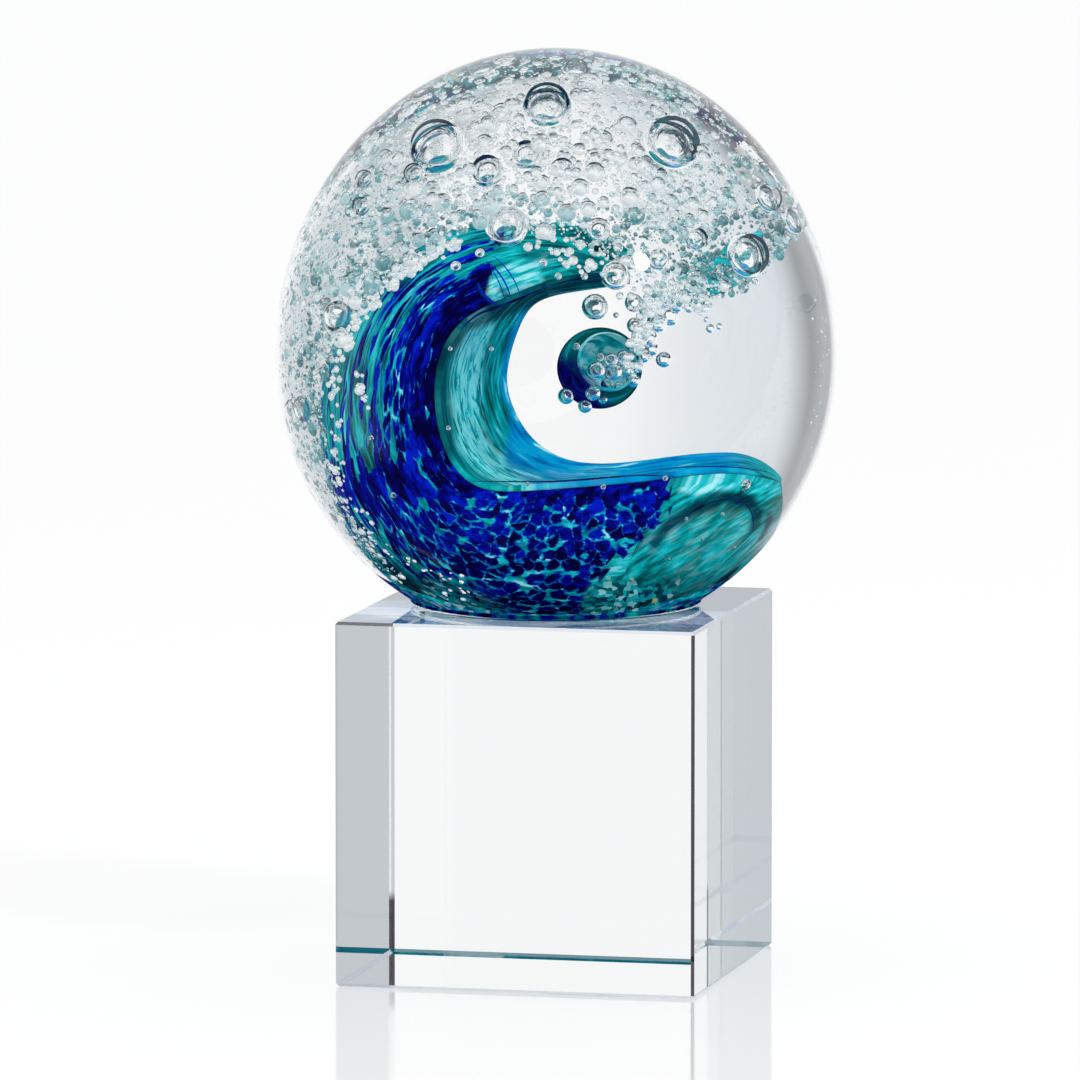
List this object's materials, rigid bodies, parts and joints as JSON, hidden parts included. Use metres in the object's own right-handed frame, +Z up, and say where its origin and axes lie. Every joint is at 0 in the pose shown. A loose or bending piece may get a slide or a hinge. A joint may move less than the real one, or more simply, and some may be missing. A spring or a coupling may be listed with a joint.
{
  "type": "glass wave sculpture",
  "caption": "Solid glass ball with a curling blue and teal glass wave and foam of air bubbles inside, bonded on a bevelled clear crystal cube.",
  "frame": {"origin": "middle of the cube's underside, where the sculpture rests", "axes": "+Z up through the cube and the ball, +X and +Y square to the cube's sides, with the cube's front facing -Y and the wave's picture plane turned 13.3 degrees from it"},
  "size_m": [0.1228, 0.1228, 0.2023],
  "materials": {
    "crystal": "polished optical crystal",
    "clear_glass": "polished clear glass",
    "adhesive": "clear adhesive",
    "turquoise_glass": "streaked translucent colour",
    "azure_glass": "streaked translucent colour",
    "teal_glass": "streaked translucent colour",
    "cobalt_glass": "broken dark colour with light veins"
  },
  "bodies": {
    "root": {"base_cube": "crystal", "bond_film": "adhesive", "orb_casing": "clear_glass", "barrel_lining": "turquoise_glass", "far_rim": "azure_glass", "sea_swell": "teal_glass", "sea_front": "cobalt_glass", "wave_wall": "cobalt_glass", "wave_crest": "teal_glass", "curl_drop": "teal_glass", "foot_pool": "cobalt_glass"}
  },
  "joints": []
}
